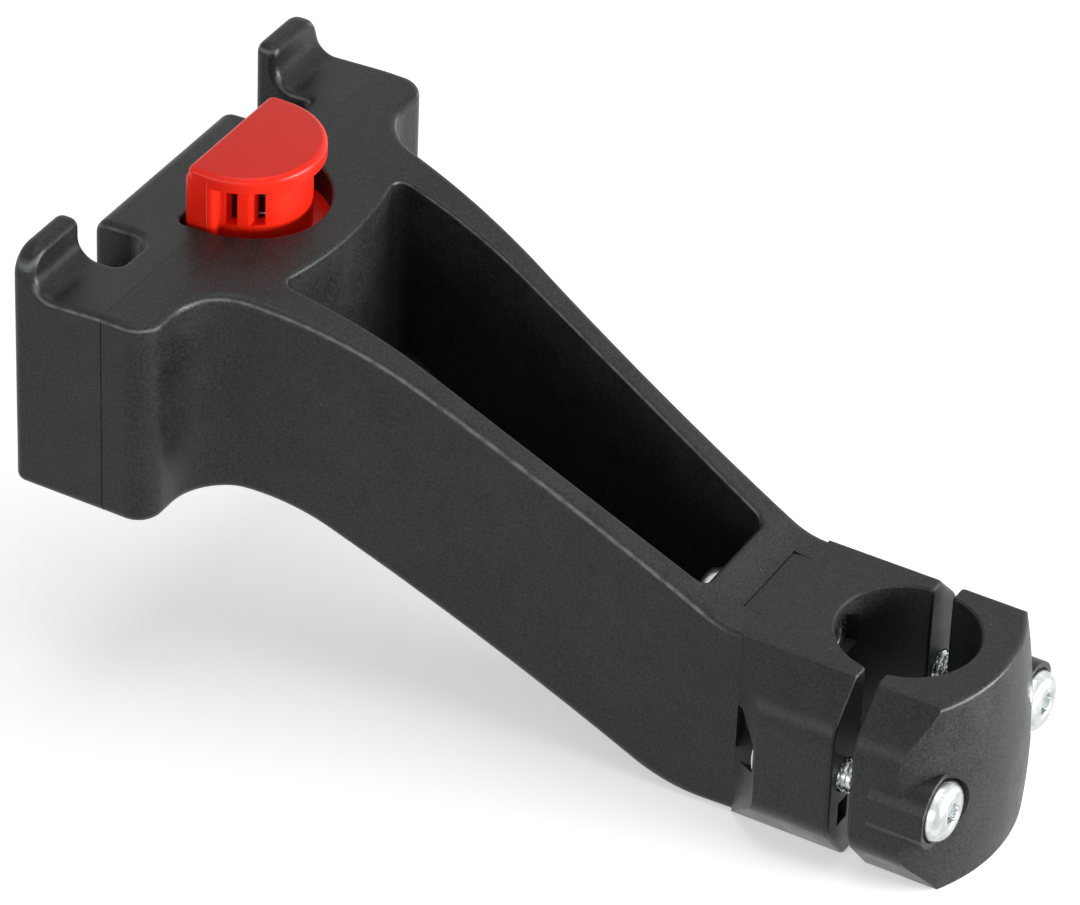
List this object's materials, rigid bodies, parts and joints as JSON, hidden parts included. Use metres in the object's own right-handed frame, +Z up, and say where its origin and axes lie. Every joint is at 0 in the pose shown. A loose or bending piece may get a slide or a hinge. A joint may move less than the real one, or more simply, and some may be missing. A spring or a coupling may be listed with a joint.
{
  "type": "bicycle handlebar bag mount",
  "caption": "Plastic arm with a bolted clamp for a bicycle stem or post, two upright hooks and a red push button that frees a handlebar bag.",
  "frame": {"origin": "middle of the clamp bore, on its axis and at half its height", "axes": "+Z up along the bore axis, +Y from the clamp to the hooks, X across the mount"},
  "size_m": [0.0962, 0.1771, 0.095],
  "materials": {
    "charcoal_plastic": "fine grained glass filled plastic, charcoal grey",
    "red_plastic": "smooth moulded plastic, orange red",
    "black_plastic": "plain moulded plastic, black",
    "spring_steel": "drawn spring wire",
    "small_screw_steel": "dark plated steel",
    "zinc_steel": "bright zinc plated steel"
  },
  "bodies": {
    "mount": {"arm_frame": "charcoal_plastic", "button_spring": "spring_steel", "button_retainer": "black_plastic", "retainer_screw_left": "small_screw_steel", "retainer_screw_right": "small_screw_steel", "clamp_base": "charcoal_plastic", "clamp_nut_left": "zinc_steel", "clamp_nut_right": "zinc_steel", "arm_screw_upper": "zinc_steel", "arm_screw_lower": "zinc_steel", "arm_washer_upper": "zinc_steel", "arm_washer_lower": "zinc_steel", "arm_nut_upper": "zinc_steel", "arm_nut_lower": "zinc_steel"},
    "cap": {"clamp_cap": "charcoal_plastic"},
    "bolt_left": {"clamp_bolt_left": "zinc_steel"},
    "bolt_right": {"clamp_bolt_right": "zinc_steel"},
    "button": {"release_button": "red_plastic"}
  },
  "joints": [
    {"name": "button_press", "type": "slide", "parent": "mount", "child": "button", "axis": [0, 0, -1], "range_m": [0, 0.006], "stiffness_N_per_m": 900, "springref_m": -0.008, "deforming": ["button_spring"]},
    {"name": "cap_slide", "type": "slide", "parent": "mount", "child": "cap", "axis": [0, -1, 0], "range_m": [0, 0.003]},
    {"name": "bolt_left_turn", "type": "hinge", "parent": "cap", "child": "bolt_left", "pos_m": [-0.0183, -0.0163, -0.0004], "axis": [0, -1, 0], "range_deg": [0, 1080]},
    {"name": "bolt_right_turn", "type": "hinge", "parent": "cap", "child": "bolt_right", "pos_m": [0.0183, -0.0163, -0.0004], "axis": [0, -1, 0], "range_deg": [0, 1080]}
  ],
  "couplings": [
    {"joint": "bolt_left_turn", "follows": "cap_slide", "rad_per_m": 6283.1},
    {"joint": "bolt_right_turn", "follows": "cap_slide", "rad_per_m": 6283.1}
  ]
}
